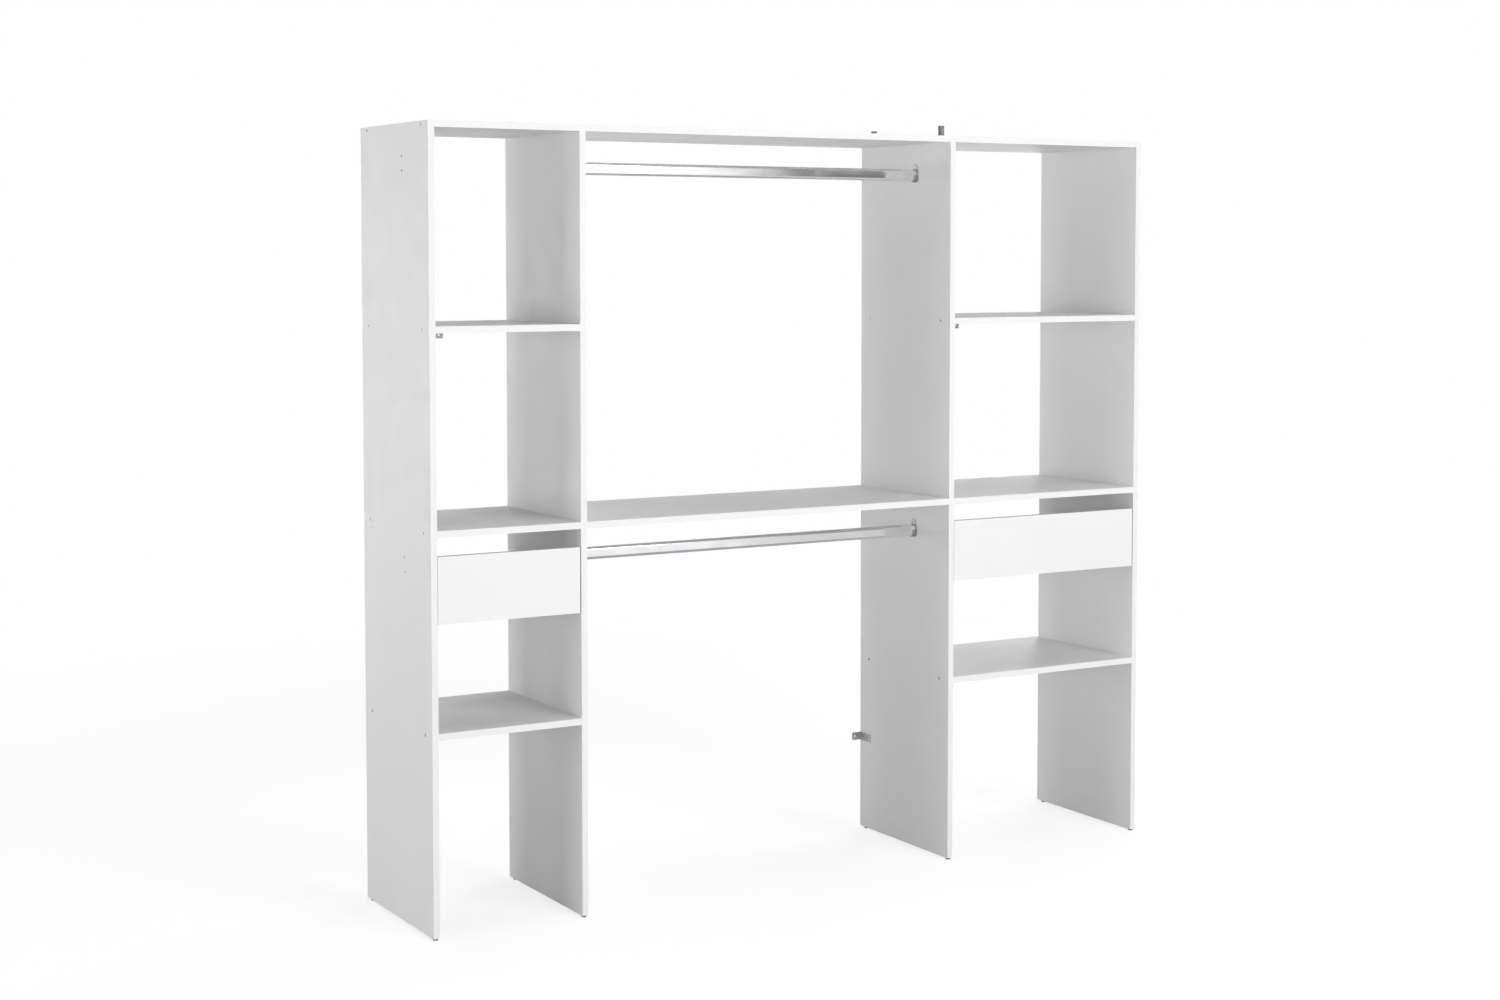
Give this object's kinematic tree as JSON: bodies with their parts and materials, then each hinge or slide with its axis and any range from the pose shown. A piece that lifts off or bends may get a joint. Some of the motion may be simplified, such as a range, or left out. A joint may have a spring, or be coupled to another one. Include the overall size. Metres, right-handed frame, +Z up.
{
  "type": "open-front wardrobe",
  "caption": "Open-front wardrobe of white boards: side bays with shelves and a roller drawer, and a middle bay with hanging rods above and below a shelf.",
  "frame": {"origin": "on the floor, under the middle of the wardrobe's width and depth", "axes": "+X along the width to the right of a viewer in front, +Y from the open front to the wall behind, +Z up"},
  "size_m": [1.98, 0.4, 1.831],
  "materials": {
    "white_board": "white melamine-faced chipboard with white edging, satin",
    "drawer_board": "white melamine-faced drawer sides, satin",
    "hardboard": "white-faced hardboard drawer bottom",
    "chrome": "polished chrome plating",
    "satin_nickel": "satin nickel-plated castings",
    "runner_steel": "white epoxy-coated steel sheet",
    "roller_plastic": "white moulded nylon",
    "screw_steel": "dark zinc-plated screws",
    "cam_metal": "cast zinc cam locks and steel bolts",
    "bracket_steel": "dull grey zinc-plated sheet",
    "stud_steel": "turned steel with a matt dark grey coat",
    "dowel_wood": "plain beech dowels",
    "glide_plastic": "dark moulded plastic glides"
  },
  "bodies": {
    "carcass": {"outer_left_upright": "white_board", "inner_left_upright": "white_board", "inner_right_upright": "white_board", "outer_right_upright": "white_board", "left_top_board": "white_board", "left_upper_shelf": "white_board", "left_middle_shelf": "white_board", "left_lower_shelf": "white_board", "middle_top_board": "white_board", "middle_shelf": "white_board", "right_top_board": "white_board", "right_upper_shelf": "white_board", "right_middle_shelf": "white_board", "right_lower_shelf": "white_board", "upper_rod": "chrome", "upper_rod_left_bracket": "satin_nickel", "upper_rod_right_bracket": "satin_nickel", "lower_rod": "chrome", "lower_rod_left_bracket": "satin_nickel", "lower_rod_right_bracket": "satin_nickel", "left_wall_bracket": "bracket_steel", "right_wall_bracket": "bracket_steel", "shelf_wall_brackets": "bracket_steel", "connecting_screws": "screw_steel", "cam_bolts": "cam_metal", "cam_locks": "cam_metal", "shelf_dowels": "dowel_wood", "wood_screws": "screw_steel", "glides": "glide_plastic", "top_studs": "stud_steel", "left_drawer_left_rail": "runner_steel", "left_drawer_right_rail": "runner_steel", "right_drawer_left_rail": "runner_steel", "right_drawer_right_rail": "runner_steel"},
    "left_drawer": {"left_drawer_front": "white_board", "left_drawer_left_side": "drawer_board", "left_drawer_right_side": "drawer_board", "left_drawer_back": "drawer_board", "left_drawer_bottom": "hardboard", "left_drawer_dowels": "dowel_wood", "left_drawer_screws": "screw_steel", "left_drawer_left_slide": "runner_steel", "left_drawer_right_slide": "runner_steel"},
    "right_drawer": {"right_drawer_front": "white_board", "right_drawer_left_side": "drawer_board", "right_drawer_right_side": "drawer_board", "right_drawer_back": "drawer_board", "right_drawer_bottom": "hardboard", "right_drawer_dowels": "dowel_wood", "right_drawer_screws": "screw_steel", "right_drawer_left_slide": "runner_steel", "right_drawer_right_slide": "runner_steel"},
    "left_drawer_left_rail_roller": {"left_drawer_left_rail_roller": "roller_plastic"},
    "left_drawer_left_slide_roller": {"left_drawer_left_slide_roller": "roller_plastic"},
    "left_drawer_right_rail_roller": {"left_drawer_right_rail_roller": "roller_plastic"},
    "left_drawer_right_slide_roller": {"left_drawer_right_slide_roller": "roller_plastic"},
    "right_drawer_left_rail_roller": {"right_drawer_left_rail_roller": "roller_plastic"},
    "right_drawer_left_slide_roller": {"right_drawer_left_slide_roller": "roller_plastic"},
    "right_drawer_right_rail_roller": {"right_drawer_right_rail_roller": "roller_plastic"},
    "right_drawer_right_slide_roller": {"right_drawer_right_slide_roller": "roller_plastic"}
  },
  "joints": [
    {"name": "left_drawer_slide", "type": "slide", "parent": "carcass", "child": "left_drawer", "axis": [0, -1, 0], "range_m": [0, 0.26]},
    {"name": "right_drawer_slide", "type": "slide", "parent": "carcass", "child": "right_drawer", "axis": [0, -1, 0], "range_m": [0, 0.26]},
    {"name": "left_drawer_left_rail_roller_spin", "type": "hinge", "parent": "carcass", "child": "left_drawer_left_rail_roller", "pos_m": [-0.97, -0.171, 0.7264], "axis": [1, 0, 0], "continuous": true},
    {"name": "left_drawer_left_slide_roller_spin", "type": "hinge", "parent": "left_drawer", "child": "left_drawer_left_slide_roller", "pos_m": [-0.9675, 0.153, 0.7258], "axis": [1, 0, 0], "continuous": true},
    {"name": "left_drawer_right_rail_roller_spin", "type": "hinge", "parent": "carcass", "child": "left_drawer_right_rail_roller", "pos_m": [-0.63, -0.171, 0.7264], "axis": [1, 0, 0], "continuous": true},
    {"name": "left_drawer_right_slide_roller_spin", "type": "hinge", "parent": "left_drawer", "child": "left_drawer_right_slide_roller", "pos_m": [-0.6325, 0.153, 0.7258], "axis": [1, 0, 0], "continuous": true},
    {"name": "right_drawer_left_rail_roller_spin", "type": "hinge", "parent": "carcass", "child": "right_drawer_left_rail_roller", "pos_m": [0.41, -0.171, 0.7264], "axis": [1, 0, 0], "continuous": true},
    {"name": "right_drawer_left_slide_roller_spin", "type": "hinge", "parent": "right_drawer", "child": "right_drawer_left_slide_roller", "pos_m": [0.4125, 0.153, 0.7258], "axis": [1, 0, 0], "continuous": true},
    {"name": "right_drawer_right_rail_roller_spin", "type": "hinge", "parent": "carcass", "child": "right_drawer_right_rail_roller", "pos_m": [0.97, -0.171, 0.7264], "axis": [1, 0, 0], "continuous": true},
    {"name": "right_drawer_right_slide_roller_spin", "type": "hinge", "parent": "right_drawer", "child": "right_drawer_right_slide_roller", "pos_m": [0.9675, 0.153, 0.7258], "axis": [1, 0, 0], "continuous": true}
  ],
  "couplings": [
    {"joint": "left_drawer_left_rail_roller_spin", "follows": "left_drawer_slide", "rad_per_m": 100},
    {"joint": "left_drawer_left_slide_roller_spin", "follows": "left_drawer_slide", "rad_per_m": 100},
    {"joint": "left_drawer_right_rail_roller_spin", "follows": "left_drawer_slide", "rad_per_m": 100},
    {"joint": "left_drawer_right_slide_roller_spin", "follows": "left_drawer_slide", "rad_per_m": 100},
    {"joint": "right_drawer_left_rail_roller_spin", "follows": "right_drawer_slide", "rad_per_m": 100},
    {"joint": "right_drawer_left_slide_roller_spin", "follows": "right_drawer_slide", "rad_per_m": 100},
    {"joint": "right_drawer_right_rail_roller_spin", "follows": "right_drawer_slide", "rad_per_m": 100},
    {"joint": "right_drawer_right_slide_roller_spin", "follows": "right_drawer_slide", "rad_per_m": 100}
  ]
}
